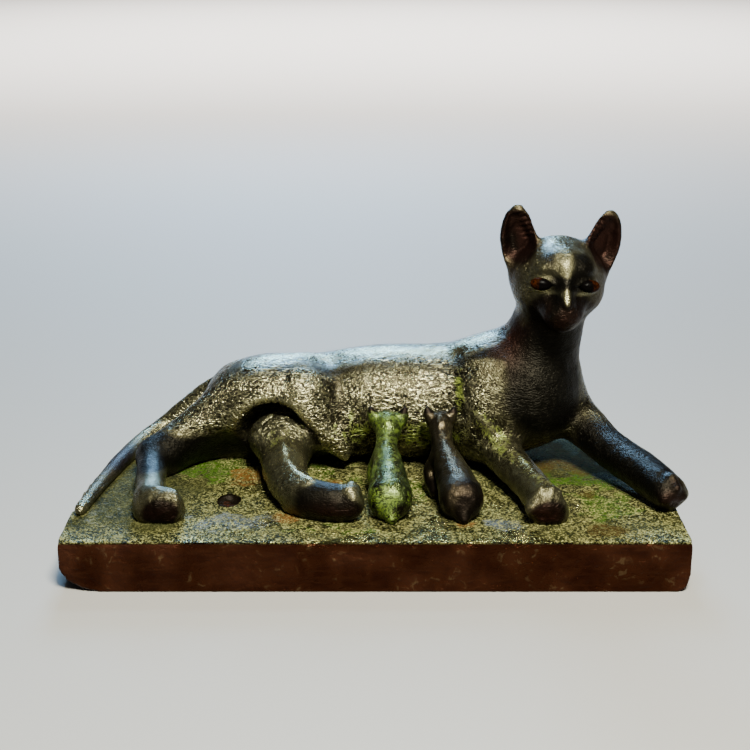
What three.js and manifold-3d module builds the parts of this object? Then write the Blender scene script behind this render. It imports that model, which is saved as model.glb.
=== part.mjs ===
// A bronze cat lying on her side with two kittens at her belly, on a low plinth, with inlaid eyes.
// Millimetres, +Z up. +X runs along the plinth to the cat's forepaws, and her belly faces the front, -Y.
// The origin is the middle of the plinth's underside.
import * as THREE from "three";
import { mergeVertices } from "three/addons/utils/BufferGeometryUtils.js";
import Module from "manifold-3d";

// The plinth.
const PLINTH_LENGTH = 280;
const PLINTH_DEPTH = 140;
const PLINTH_HEIGHT = 24;
const BACK_RIGHT_RADIUS = 30;
const BACK_LEFT_RADIUS = 18;
const LEFT_SIDE_RADIUS = 300; // the left side curves in along the tail
const LEFT_SIDE_STRAIGHT = 35; // how much of it, from the front corner, is straight
const LEFT_WEAR = { length: 20, depth: 16, height: 13 }; // rounded-off lower corners of the front
const RIGHT_WEAR = { length: 5, depth: 8, height: 9 };
const WEAR_ANGLES = [25, 50, 72]; // of the flats that round them off
const SOCKET = { x: -69, y: -20, width: 12, depth: 20, sunk: 3 }; // an old fixing hole in the top
const SOCKET_TAPER = 0.85; // how wide its floor is, as a share of its mouth

// The figures. Their forms are written for these lengths, and follow them in proportion.
const CAT_LENGTH = 240; // from the tail's root to the farther forepaw
const CAT_DRAWN_LENGTH = 240;
const KITTEN_LENGTH = 58; // from rump to muzzle
const KITTEN_DRAWN_LENGTH = 58;
const EYE_WIDTH = 10.4;
const EYE_HEIGHT = 6.4;
const EYE_DEPTH = 6;
const EYE_SLANT = 16; // degrees that an eye faces outwards
const SETTING_GAP = 0.3; // round an inlaid eye
const CONTACT_GAP = 0.5; // between a kitten and its mother

// How finely the figures are shaped.
const CAT_CELL = 1.5;
const KITTEN_CELL = 0.9;
const CAT_TRIANGLES = 6700;
const KITTEN_TRIANGLES = 840;
const CURVE_STEPS = 6; // pieces of a limb between two of its stations
const SMOOTHING_ROUNDS = 3;
const WIDEST_FILLET = 14; // no two forms blend further apart than this

const wasm = await Module();
wasm.setup();

const bronze = (color, roughness) => new THREE.MeshStandardMaterial({ color, roughness, metalness: 0.85 });
const amber = () => new THREE.MeshStandardMaterial({ color: 0x7a3a12, roughness: 0.2, metalness: 0 });

// Forms. Each is a function of x, y, z that gives the distance to its surface, negative inside.

const span = (x, y, z) => Math.sqrt(x * x + y * y + z * z);

// The smooth union of two distances: k is how wide the fillet between them is.
function blend(a, b, k) {
  const h = Math.max(k - Math.abs(a - b), 0) / k;
  return Math.min(a, b) - (h * h * k) / 4;
}

// The first distance with the second scooped out of it.
function scoop(a, b, k) {
  return -blend(-a, b, k);
}

// A limb: a round bar whose path and thickness follow its stations [x, y, z, radius].
function limb(stations) {
  const path = new THREE.CatmullRomCurve3(stations.map(([x, y, z]) => new THREE.Vector3(x, y, z)));
  const girth = new THREE.CatmullRomCurve3(stations.map(([, , , r]) => new THREE.Vector3(r, 0, 0)));
  const count = (stations.length - 1) * CURVE_STEPS;
  const pieces = Array.from({ length: count }, (_, i) => {
    const [a, b] = [i, i + 1].map((n) => path.getPoint(n / count));
    const [r, end] = [i, i + 1].map((n) => girth.getPoint(n / count).x);
    const [dx, dy, dz] = [b.x - a.x, b.y - a.y, b.z - a.z];
    return { x: a.x, y: a.y, z: a.z, r, dx, dy, dz, dr: end - r, dd: dx * dx + dy * dy + dz * dz };
  });
  const ends = new THREE.Box3().setFromPoints(path.getPoints(count));
  const centre = ends.getCenter(new THREE.Vector3());
  const reach = centre.distanceTo(ends.max) + Math.max(...stations.map(([, , , r]) => r));
  return (x, y, z) => {
    const away = span(x - centre.x, y - centre.y, z - centre.z) - reach;
    if (away > WIDEST_FILLET) return away;
    let least = Infinity;
    for (const p of pieces) {
      const ox = x - p.x;
      const oy = y - p.y;
      const oz = z - p.z;
      const t = Math.min(Math.max((ox * p.dx + oy * p.dy + oz * p.dz) / p.dd, 0), 1);
      least = Math.min(least, span(ox - t * p.dx, oy - t * p.dy, oz - t * p.dz) - p.r - t * p.dr);
    }
    return least;
  };
}

// An ellipsoid at a centre, with its three radii, turned by degrees about x, y and z.
function egg([cx, cy, cz], [rx, ry, rz], [tx, ty, tz] = [0, 0, 0]) {
  const turn = new THREE.Matrix4().makeRotationFromEuler(
    new THREE.Euler(...[tx, ty, tz].map(THREE.MathUtils.degToRad), "ZYX"),
  );
  const m = turn.invert().elements;
  return (x, y, z) => {
    const dx = x - cx;
    const dy = y - cy;
    const dz = z - cz;
    const px = (m[0] * dx + m[4] * dy + m[8] * dz) / rx;
    const py = (m[1] * dx + m[5] * dy + m[9] * dz) / ry;
    const pz = (m[2] * dx + m[6] * dy + m[10] * dz) / rz;
    const k0 = span(px, py, pz);
    const k1 = span(px / rx, py / ry, pz / rz);
    return k1 < 1e-9 ? -Math.min(rx, ry, rz) : (k0 * (k0 - 1)) / k1;
  };
}

// The form seen in a frame that is turned by degrees about its own point.
function turned(form, [ox, oy, oz], [tx, ty, tz]) {
  const m = new THREE.Matrix4()
    .makeRotationFromEuler(new THREE.Euler(...[tx, ty, tz].map(THREE.MathUtils.degToRad), "ZYX"))
    .invert().elements;
  return (x, y, z) => {
    const dx = x - ox;
    const dy = y - oy;
    const dz = z - oz;
    return form(
      ox + m[0] * dx + m[4] * dy + m[8] * dz,
      oy + m[1] * dx + m[5] * dy + m[9] * dz,
      oz + m[2] * dx + m[6] * dy + m[10] * dz,
    );
  };
}

// A form pressed to a share of its depth, front to back, about a middle y.
const pressed = (form, middle, share) => (x, y, z) => form(x, middle + (y - middle) / share, z) * share;

// The mother, drawn on a plinth top at z = 0.
const HEAD = { x: 87.8, y: 22, z: 97 };
const HEAD_TURN = [0, 3.5, 2.5]; // her head leans a little to her forepaws, and looks that way
const EAR_FACING = 20; // degrees that an ear's hollow faces outwards
const RIGHT_EAR_SPREAD = 2; // degrees that the ear on the right leans out further than the other
const EAR_THINNESS = 0.5; // how deep an ear is, as a share of its width
const EYES = { apart: 23.2, y: -20.2, z: 1.4 }; // from the middle of the head
const SOLE_RADIUS = 7.6; // the paws are broad and square at the plinth
const SOLE_RISE = 3.6; // of the soles' middle over the plinth's top

function earForm(side) {
  const at = (x, y, z, r) => [HEAD.x + side * x, HEAD.y + y, HEAD.z + z, r];
  const sheet = limb([
    at(15, 2, 3, 9),
    at(18, 2, 11, 9.9),
    at(20.9, 2, 19, 9.1),
    at(22, 2, 26, 6.8),
    at(22.1, 2, 30.6, 4),
  ]);
  const hollow = limb([
    at(17, -4, 8, 6.4),
    at(19, -4, 14, 7.2),
    at(20.8, -4, 20, 6.3),
    at(21.4, -4, 27, 3.7),
  ]);
  const middle = HEAD.y + 2;
  const flat_sheet = pressed(sheet, middle, EAR_THINNESS);
  const thin = (x, y, z) => scoop(flat_sheet(x, y, z), hollow(x, y, z), 1.5);
  const spread = side > 0 ? RIGHT_EAR_SPREAD : 0;
  return turned(thin, [HEAD.x + side * 19, middle, HEAD.z + 10], [0, spread, side * EAR_FACING]);
}

function headForm() {
  const { x: hx, y: hy, z: hz } = HEAD;
  const skull = egg([hx, hy + 2, hz + 1.8], [22.6, 22, 18.2]);
  const cheeks = egg([hx, hy - 3, hz - 7], [20, 16.5, 11.5]);
  const brow = egg([hx, hy - 12, hz + 8], [13.5, 9.5, 7.5], [-14, 0, 0]);
  const muzzle = egg([hx, hy - 20, hz - 11.5], [10, 10.5, 7.6]);
  const nose = limb([[hx, hy - 18, hz + 5, 4.4], [hx, hy - 22.5, hz, 3.8], [hx, hy - 27.5, hz - 6, 3]]);
  const chin = egg([hx, hy - 18.5, hz - 17], [6, 7.5, 4]);
  const hollows = [-1, 1].map((side) =>
    egg([hx + (side * EYES.apart) / 2, hy + EYES.y - 4, hz + EYES.z], [6.6, 5, 4.6]),
  );
  const ears = [-1, 1].map(earForm);
  const form = (x, y, z) => {
    let d = blend(skull(x, y, z), cheeks(x, y, z), 8);
    d = blend(d, brow(x, y, z), 6);
    d = blend(d, muzzle(x, y, z), 5);
    d = blend(d, chin(x, y, z), 4);
    d = blend(d, nose(x, y, z), 4);
    for (const hollow of hollows) d = scoop(d, hollow(x, y, z), 2);
    for (const ear of ears) d = blend(d, ear(x, y, z), 3);
    return d;
  };
  return turned(form, [hx, hy, hz], HEAD_TURN);
}

// Toes: a row of knuckles over the end of a paw, from one side of it to the other.
function toesForm([fx, fy, fz], [tx, ty, tz], radius, count = 4) {
  const knuckles = Array.from({ length: count }, (_, i) => {
    const t = i / (count - 1);
    const arch = Math.sin(t * Math.PI) * 1.2;
    return egg([fx + t * (tx - fx), fy + t * (ty - fy), fz + t * (tz - fz) + arch], [radius, radius, radius]);
  });
  return (x, y, z) => knuckles.reduce((d, knuckle) => Math.min(d, knuckle(x, y, z)), Infinity);
}

function motherForm() {
  const torso = limb([
    [-65.5, 45.5, 28.4, 20],
    [-52, 43, 26.6, 25.2],
    [-36, 42, 26, 25.9],
    [-8, 42, 28, 27.6],
    [4, 42, 28.8, 28.4],
    [22, 42, 28.8, 28.6],
    [42, 42, 29.4, 29],
    [58, 38.2, 33.2, 31],
    [72, 35.6, 36.5, 28],
  ]);
  const underside = limb([[-58, 45, 14, 15], [-8, 45, 14, 16], [50, 42.5, 14, 16.5]]);
  const neck = limb([
    [75, 35, 38, 27],
    [80, 32.4, 55, 20],
    [83.2, 29.5, 68, 18],
    [86.5, 26, 84, 16.4],
  ]);
  const shoulder = limb([[58, 31, 46, 17], [55, 27, 30, 19], [55, 27, 18, 15]]);
  const foreleg = limb([
    [55, 27, 17, 14],
    [60, 12, 14, 10],
    [67, -8, 11, 8.6],
    [73, -28, 9.5, 8],
    [77, -45.5, 8.5, 8.8],
  ]);
  const foresole = limb([[76.8, -44.6, SOLE_RISE, SOLE_RADIUS], [81, -44.4, SOLE_RISE, SOLE_RADIUS]]);
  const foretoes = toesForm([70.8, -50.2, 8], [83.4, -48.6, 8], 3.6);
  const far_foreleg = limb([
    [88, 36, 33, 15],
    [100.6, 29, 23.8, 11.4],
    [113.4, 8, 15.8, 9.4],
    [127, -14, 11.4, 9.4],
    [135.4, -31, 8.4, 8.8],
  ]);
  const far_foretoes = toesForm([132.8, -38, 7.6], [141.8, -31.5, 7.6], 3.5);
  const haunch = limb([
    [-40, 32, 33, 21],
    [-60, 31, 33.5, 18],
    [-77, 28, 27, 12.2],
    [-92, 22, 19.5, 8.8],
    [-108, 12, 10, 7.4],
  ]);
  const inner_thigh = limb([
    [-60, 48, 9, 12],
    [-78, 42, 9, 11],
    [-90, 32.4, 8, 9],
    [-99, 22, 7, 7.4],
    [-106, 12, 7, 6.8],
  ]);
  const hind_foot = limb([
    [-108.4, 11, 10, 7.6],
    [-107, -8, 7.5, 7.2],
    [-104.5, -27, 7, 7.2],
    [-102, -42, 7.4, 8],
    [-95.5, -44.8, 7.4, 8],
  ]);
  const hind_sole = limb([[-103.2, -42.5, SOLE_RISE, SOLE_RADIUS], [-93.9, -43.2, SOLE_RISE, SOLE_RADIUS]]);
  const hind_toes = toesForm([-99.5, -48.6, 10.4], [-90.8, -48, 9.6], 3.4, 3);
  const flank_fold = limb([
    [-32, 24, 36, 12],
    [-23, 20, 22, 9],
    [-16.5, 16.4, 12, 4.6],
    [-14.6, 14.8, 7.2, 1.6],
  ]);
  const groin = egg([-51, 12, 17.5], [17.5, 21, 19.2], [0, 12, 0]);
  const lower_thigh = limb([
    [-44.5, 38, 14, 15],
    [-44.6, 24, 12.6, 14.6],
    [-44.2, 9, 10.6, 11.8],
    [-43, -6, 9.6, 10],
  ]);
  const lower_knee = egg([-46.2, 19, 16.4], [16.4, 14.5, 11]);
  const lower_foot = limb([
    [-43, -6, 9.6, 10],
    [-40.5, -22, 9.2, 9.6],
    [-33, -36.5, 8.8, 9.2],
    [-21, -43.5, 8.4, 8.6],
    [-12.6, -44.8, 8.2, 8],
  ]);
  const lower_sole = limb([
    [-36, -33, SOLE_RISE, SOLE_RADIUS],
    [-24, -40, SOLE_RISE, SOLE_RADIUS],
    [-16.4, -41.5, SOLE_RISE, SOLE_RADIUS],
  ]);
  const lower_toes = toesForm([-10.2, -49, 12], [-9.6, -41.4, 13.4], 3.4, 3);
  const tail = limb([
    [-58, 57, 38, 9],
    [-82, 62, 29.5, 5.6],
    [-97, 62.5, 19, 5],
    [-109.4, 60, 9.4, 4.6],
    [-120.2, 47, 4.4, 4.3],
    [-126.4, 22, 3.6, 4],
    [-131.6, -8, 3, 3.5],
    [-135.6, -39, 2.4, 2.8],
  ]);
  const head = headForm();
  return (x, y, z) => {
    let body = blend(torso(x, y, z), underside(x, y, z), 4);
    body = blend(body, haunch(x, y, z), 9);
    body = blend(body, inner_thigh(x, y, z), 13);
    body = blend(body, flank_fold(x, y, z), 8);
    body = scoop(body, groin(x, y, z), 4);
    body = blend(body, shoulder(x, y, z), 7);
    body = blend(body, neck(x, y, z), 12);
    body = blend(body, head(x, y, z), 6);
    body = blend(body, foreleg(x, y, z), 6);
    body = blend(body, foresole(x, y, z), 2);
    body = blend(body, foretoes(x, y, z), 2);
    body = blend(body, far_foreleg(x, y, z), 6);
    body = blend(body, far_foretoes(x, y, z), 2);
    body = blend(body, tail(x, y, z), 5);
    body = blend(body, hind_foot(x, y, z), 3);
    body = blend(body, hind_sole(x, y, z), 2);
    body = blend(body, hind_toes(x, y, z), 2);
    let lower_leg = blend(lower_thigh(x, y, z), lower_knee(x, y, z), 4);
    lower_leg = blend(lower_leg, lower_foot(x, y, z), 4);
    lower_leg = blend(lower_leg, lower_sole(x, y, z), 2);
    lower_leg = blend(lower_leg, lower_toes(x, y, z), 2);
    return blend(body, lower_leg, 3.5);
  };
}

// The kittens: where each one's rump is, and how its waist and head are shifted sideways from there.
const LEFT_KITTEN = { x: 6.9, y: -39, waist: -1.6, head: -0.7, ears: 8.4 };
const RIGHT_KITTEN = { x: 39.5, y: -39, waist: -7.2, head: -8, ears: 6.6 };

// A kitten with its rump to the front, at x 0, y 0, and its head up at the belly. Its waist and its
// head are shifted sideways, and its ears stand apart from the middle of its head.
function kittenForm({ waist, head, ears }) {
  const body = limb([
    [0, -0.5, 9.4, 9],
    [waist * 0.25, 9, 12, 9],
    [waist * 0.65, 20, 17, 7.2],
    [waist, 30, 22.5, 5.2],
    [head, 38, 27, 5.4],
  ]);
  const haunches = [-1, 1].map((side) => egg([side * 3.9, 0, 7.5], [5.7, 9.5, 8]));
  const skull = egg([head, 43, 29], [ears - 1.2, 8, 6.8]);
  const forelegs = [-1, 1].map((side) =>
    limb([
      [waist + side * 2.6, 28, 17, 4.4],
      [waist + side * 5.6, 28, 10, 3.8],
      [waist + side * 3.4, 20, 4, 3.8],
    ]),
  );
  const pricked = [-1, 1].map((side) =>
    limb([
      [head + side * (ears - 2.6), 43, 31.6, 3.6],
      [head + side * (ears - 0.8), 43, 34.6, 2.5],
      [head + side * ears, 43.4, 37, 1.2],
    ]),
  );
  const tail = limb([[0, -4.5, 5.5, 6], [0.5, -8, 3.6, 4], [1, -10.8, 2, 2.2]]);
  return (x, y, z) => {
    let d = body(x, y, z);
    for (const form of haunches) d = blend(d, form(x, y, z), 4);
    for (const form of forelegs) d = blend(d, form(x, y, z), 3);
    d = blend(d, skull(x, y, z), 3);
    for (const form of pricked) d = blend(d, form(x, y, z), 1.5);
    return blend(d, tail(x, y, z), 2);
  };
}

// A form at another size.
const scaled = (form, size) => (x, y, z) => form(x / size, y / size, z / size) * size;

// A form moved by x and y.
const moved = (form, dx, dy) => (x, y, z) => form(x - dx, y - dy, z);

// Meshes.

// The surface of a form inside a box, as points and triangles, on a grid of cells.
function skin(form, low, high, cell) {
  const [nx, ny, nz] = [0, 1, 2].map((a) => Math.ceil((high[a] - low[a]) / cell) + 1);
  const field = new Float32Array(nx * ny * nz);
  const at = (i, j, k) => (k * ny + j) * nx + i;
  const run = (from, size, limit) => Array.from({ length: Math.min(size, limit - from) }, (_, n) => from + n);

  // Blocks of samples that the surface may pass through are halved down to small ones.
  const LARGEST_BLOCK = 16;
  const SMALLEST_BLOCK = 2;
  const DISTANCE_ERROR = 1.5; // how far a form's distance may be off
  const near = [];
  const visit = (i0, j0, k0, size) => {
    if (i0 >= nx || j0 >= ny || k0 >= nz) return;
    const half = (size * cell * Math.sqrt(3)) / 2;
    const [mx, my, mz] = [i0, j0, k0].map((n, a) => low[a] + (n + size / 2) * cell);
    const middle = form(mx, my, mz);
    const far = Math.abs(middle) > half * DISTANCE_ERROR + cell;
    if (!far && size > SMALLEST_BLOCK) {
      const step = size / 2;
      for (const dk of [0, step])
        for (const dj of [0, step])
          for (const di of [0, step]) visit(i0 + di, j0 + dj, k0 + dk, step);
      return;
    }
    for (const k of run(k0, size, nz))
      for (const j of run(j0, size, ny))
        for (const i of run(i0, size, nx)) {
          const rim = i === 0 || j === 0 || k === 0 || i === nx - 1 || j === ny - 1 || k === nz - 1;
          if (far) field[at(i, j, k)] = middle;
          else if (rim) field[at(i, j, k)] = cell;
          else field[at(i, j, k)] = form(low[0] + i * cell, low[1] + j * cell, low[2] + k * cell);
          if (!far) near.push([i, j, k]);
        }
  };
  for (let k = 0; k < nz; k += LARGEST_BLOCK)
    for (let j = 0; j < ny; j += LARGEST_BLOCK)
      for (let i = 0; i < nx; i += LARGEST_BLOCK) visit(i, j, k, LARGEST_BLOCK);

  // A cell holds one sheet of the surface only where its corners inside the form hang together along
  // its edges, and so do those outside. Where they don't, the outside corner nearest to the form is filled.
  const corners = Array.from({ length: 8 }, (_, c) => [c & 1, (c >> 1) & 1, (c >> 2) & 1]);
  const edges = corners.flatMap((_, m) => [1, 2, 4].filter((bit) => !(m & bit)).map((bit) => [m, m | bit]));
  const offsets = corners.map(([a, b, c]) => at(a, b, c));
  const cells = near.filter(([i, j, k]) => i < nx - 1 && j < ny - 1 && k < nz - 1);
  const maskAt = (here) => offsets.reduce((mask, o, c) => mask | (field[here + o] < 0 ? 1 << c : 0), 0);
  const together = (mask) => {
    let found = mask & -mask;
    for (let round = 0; round < 8; round++)
      for (const [m, n] of edges) {
        const both = (1 << m) | (1 << n);
        if ((mask & both) === both && found & both) found |= both;
      }
    return found === mask;
  };
  const oneSheet = Array.from({ length: 256 }, (_, mask) => together(mask) && together(255 ^ mask));
  for (let filled = 1; filled > 0; ) {
    filled = 0;
    for (const [i, j, k] of cells) {
      const here = at(i, j, k);
      if (oneSheet[maskAt(here)]) continue;
      const outside = offsets.filter((o) => field[here + o] >= 0);
      const nearest = outside.reduce((a, b) => (field[here + a] < field[here + b] ? a : b));
      field[here + nearest] = -0.01 * cell;
      filled++;
    }
  }

  // One point in each cell that the surface crosses, at the mean of its edges' crossings.
  const points = [];
  const pointIn = new Int32Array(nx * ny * nz).fill(-1);
  for (const [i, j, k] of cells) {
    const here = at(i, j, k);
    const mask = maskAt(here);
    if (mask === 0 || mask === 255) continue;
    const sum = [i, j, k];
    const crossed = edges.filter(([m, n]) => ((mask >> m) & 1) !== ((mask >> n) & 1));
    for (const [m, n] of crossed) {
      const t = field[here + offsets[m]] / (field[here + offsets[m]] - field[here + offsets[n]]);
      const crossing = corners[m].map((from, a) => from + t * (corners[n][a] - from));
      crossing.forEach((c, a) => (sum[a] += c / crossed.length));
    }
    pointIn[here] = points.length;
    points.push(sum.map((n, a) => low[a] + n * cell));
  }

  // Two triangles round each grid edge that the surface crosses.
  const triangles = [];
  const steps = [[1, 0, 0], [0, 1, 0], [0, 0, 1]].map(([a, b, c]) => at(a, b, c));
  for (const [i, j, k] of cells) {
    const here = at(i, j, k);
    steps.forEach((step, axis) => {
      if (field[here] < 0 === field[here + step] < 0) return;
      const u = steps[(axis + 1) % 3];
      const v = steps[(axis + 2) % 3];
      const [a, b, c, d] = [here, here - u, here - u - v, here - v].map((n) => pointIn[n]);
      triangles.push(...(field[here] < 0 ? [[a, b, c], [a, c, d]] : [[a, c, b], [a, d, c]]));
    });
  }
  for (let round = 0; round < SMOOTHING_ROUNDS; round++) settle(form, points, triangles, cell);
  return { points, triangles };
}

// Moves the points of a mesh to the middle of their neighbours, and then onto the form's surface.
function settle(form, points, triangles, cell) {
  const around = points.map(() => ({ x: 0, y: 0, z: 0, count: 0, nx: 0, ny: 0, nz: 0 }));
  for (const [a, b, c] of triangles) {
    const [p, q, r] = [points[a], points[b], points[c]];
    const [ux, uy, uz] = [q[0] - p[0], q[1] - p[1], q[2] - p[2]];
    const [vx, vy, vz] = [r[0] - p[0], r[1] - p[1], r[2] - p[2]];
    for (const [corner, one, two] of [[a, q, r], [b, r, p], [c, p, q]]) {
      const here = around[corner];
      here.x += one[0] + two[0];
      here.y += one[1] + two[1];
      here.z += one[2] + two[2];
      here.count += 2;
      here.nx += uy * vz - uz * vy;
      here.ny += uz * vx - ux * vz;
      here.nz += ux * vy - uy * vx;
    }
  }
  around.forEach((here, n) => {
    const [x, y, z] = [here.x, here.y, here.z].map((sum, a) => (points[n][a] + sum / here.count) / 2);
    const rise = THREE.MathUtils.clamp(form(x, y, z), -cell, cell) / (span(here.nx, here.ny, here.nz) || 1);
    points[n] = [x - here.nx * rise, y - here.ny * rise, z - here.nz * rise];
  });
}

// Fewer triangles for the same surface: the edge whose loss changes the shape least goes first.
function thinned({ points, triangles }, target) {
  const p = points.map((v) => [...v]);
  const faces = triangles.map((t) => [...t]);
  const around = p.map(() => new Set());
  faces.forEach((f, n) => f.forEach((v) => around[v].add(n)));
  const normal = (a, b, c) => {
    const [ux, uy, uz] = [b[0] - a[0], b[1] - a[1], b[2] - a[2]];
    const [vx, vy, vz] = [c[0] - a[0], c[1] - a[1], c[2] - a[2]];
    return [uy * vz - uz * vy, uz * vx - ux * vz, ux * vy - uy * vx];
  };
  // Each point's error is a quadric: squared distances to its faces' planes, and a little to its own place.
  const HOLD = 0.001;
  const quadric = p.map(() => new Float64Array(10));
  const addPlane = (q, a, b, c, d, weight) => {
    const products = [a * a, a * b, a * c, a * d, b * b, b * c, b * d, c * c, c * d, d * d];
    products.forEach((v, i) => (q[i] += v * weight));
  };
  faces.forEach(([a, b, c]) => {
    const n = normal(p[a], p[b], p[c]);
    const size = Math.hypot(...n) || 1e-12;
    const [nx, ny, nz] = n.map((v) => v / size);
    const d = -(nx * p[a][0] + ny * p[a][1] + nz * p[a][2]);
    [a, b, c].forEach((v) => {
      addPlane(quadric[v], nx, ny, nz, d, size);
      addPlane(quadric[v], 1, 0, 0, -p[v][0], size * HOLD);
      addPlane(quadric[v], 0, 1, 0, -p[v][1], size * HOLD);
      addPlane(quadric[v], 0, 0, 1, -p[v][2], size * HOLD);
    });
  });
  const stamp = new Int32Array(p.length);
  const heap = [];
  const swap = (i, j) => ([heap[i], heap[j]] = [heap[j], heap[i]]);
  const push = (item) => {
    heap.push(item);
    for (let i = heap.length - 1; i > 0; ) {
      const up = (i - 1) >> 1;
      if (heap[up].cost <= heap[i].cost) break;
      swap(i, up);
      i = up;
    }
  };
  const pop = () => {
    const top = heap[0];
    const last = heap.pop();
    if (heap.length) {
      heap[0] = last;
      for (let i = 0; ; ) {
        const l = 2 * i + 1;
        const r = l + 1;
        let least = i;
        if (l < heap.length && heap[l].cost < heap[least].cost) least = l;
        if (r < heap.length && heap[r].cost < heap[least].cost) least = r;
        if (least === i) break;
        swap(i, least);
        i = least;
      }
    }
    return top;
  };
  const weigh = (a, b) => {
    const q = quadric[a].map((v, i) => v + quadric[b][i]);
    const [aa, ab, ac, ad, bb, bc, bd, cc, cd, dd] = q;
    const m = new THREE.Matrix3().set(aa, ab, ac, ab, bb, bc, ac, bc, cc).invert();
    const x = new THREE.Vector3(-ad, -bd, -cd).applyMatrix3(m);
    const to = [x.x, x.y, x.z];
    const cost =
      aa * x.x * x.x + 2 * ab * x.x * x.y + 2 * ac * x.x * x.z + 2 * ad * x.x + bb * x.y * x.y +
      2 * bc * x.y * x.z + 2 * bd * x.y + cc * x.z * x.z + 2 * cd * x.z + dd;
    push({ cost, a, b, to, sa: stamp[a], sb: stamp[b] });
  };
  const neighbours = (v) => {
    const found = new Set();
    around[v].forEach((n) => faces[n].forEach((w) => w !== v && found.add(w)));
    return found;
  };
  p.forEach((_, a) => neighbours(a).forEach((b) => a < b && weigh(a, b)));
  const turnsOver = (v, other, to) => {
    for (const n of around[v]) {
      const f = faces[n];
      if (f.includes(other)) continue;
      const before = normal(...f.map((w) => p[w]));
      const after = normal(...f.map((w) => (w === v ? to : p[w])));
      const dot = before[0] * after[0] + before[1] * after[1] + before[2] * after[2];
      if (dot < 0.3 * Math.hypot(...before) * Math.hypot(...after)) return true;
    }
    return false;
  };
  let left = faces.length;
  while (left > target && heap.length) {
    const { a, b, to, sa, sb } = pop();
    if (stamp[a] !== sa || stamp[b] !== sb) continue;
    const nb = neighbours(b);
    const shared = [...neighbours(a)].filter((v) => nb.has(v));
    if (shared.length !== 2 || turnsOver(a, b, to) || turnsOver(b, a, to)) continue;
    for (const n of [...around[b]]) {
      const f = faces[n];
      if (f.includes(a)) {
        f.forEach((v) => around[v].delete(n));
        left--;
      } else {
        f[f.indexOf(b)] = a;
        around[a].add(n);
      }
    }
    around[b].clear();
    stamp[b] = -1;
    stamp[a]++;
    p[a] = to;
    quadric[b].forEach((v, i) => (quadric[a][i] += v));
    neighbours(a).forEach((v) => weigh(a, v));
  }
  const kept = faces.filter((f, n) => around[f[0]].has(n));
  const number = new Map();
  kept.flat().forEach((v) => number.has(v) || number.set(v, number.size));
  const numbered = kept.map((f) => f.map((v) => number.get(v)));
  return { points: [...number.keys()].map((v) => p[v]), triangles: numbered };
}

// Solids.

function solidFromSkin({ points, triangles }) {
  return new wasm.Manifold(new wasm.Mesh({
    numProp: 3,
    vertProperties: new Float32Array(points.flat()),
    triVerts: new Uint32Array(triangles.flat()),
  }));
}

function solidFromGeometry(geometry) {
  const bare = geometry.clone();
  bare.deleteAttribute("normal");
  bare.deleteAttribute("uv");
  const merged = mergeVertices(bare, 1e-4);
  return new wasm.Manifold(new wasm.Mesh({
    numProp: 3,
    vertProperties: merged.attributes.position.array,
    triVerts: new Uint32Array(merged.index.array),
  }));
}

function meshFromSolid(solid, name, material) {
  const m = solid.getMesh();
  const positions = new Float32Array(m.numVert * 3);
  for (let i = 0; i < m.numVert; i++)
    for (let a = 0; a < 3; a++) positions[i * 3 + a] = m.vertProperties[i * m.numProp + a];
  const geometry = new THREE.BufferGeometry()
    .setAttribute("position", new THREE.BufferAttribute(positions, 3))
    .setIndex(new THREE.BufferAttribute(new Uint32Array(m.triVerts), 1));
  const mesh = new THREE.Mesh(geometry, material);
  mesh.name = name;
  return mesh;
}

// Everything above the plinth's top, which the figures are cut to.
function abovePlinth() {
  const wide = PLINTH_LENGTH * 3;
  return solidFromGeometry(new THREE.BoxGeometry(wide, wide, wide).translate(0, 0, wide / 2));
}

// One flat of a worn lower corner of the front: all that lies outside a plane that touches the
// corner's rounding at an angle, and that leaves the plinth at the wear's depth.
function wearCut(side, wear, angle) {
  const touch = new THREE.Vector3(
    side * (PLINTH_LENGTH / 2 - wear.length * (1 - Math.cos(angle))),
    -PLINTH_DEPTH / 2,
    wear.height * (1 - Math.sin(angle)),
  );
  const out = new THREE.Vector3((side * Math.cos(angle)) / wear.length, 0, -Math.sin(angle) / wear.height);
  out.normalize();
  const lost = out.dot(new THREE.Vector3((side * PLINTH_LENGTH) / 2, touch.y, 0).sub(touch));
  out.y = -lost / wear.depth;
  out.normalize();
  const wide = wear.length * 4;
  const box = new THREE.BoxGeometry(wide, wide, wide).translate(0, 0, wide / 2);
  box.applyQuaternion(new THREE.Quaternion().setFromUnitVectors(new THREE.Vector3(0, 0, 1), out));
  return solidFromGeometry(box.translate(touch.x, touch.y, touch.z));
}

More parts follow.
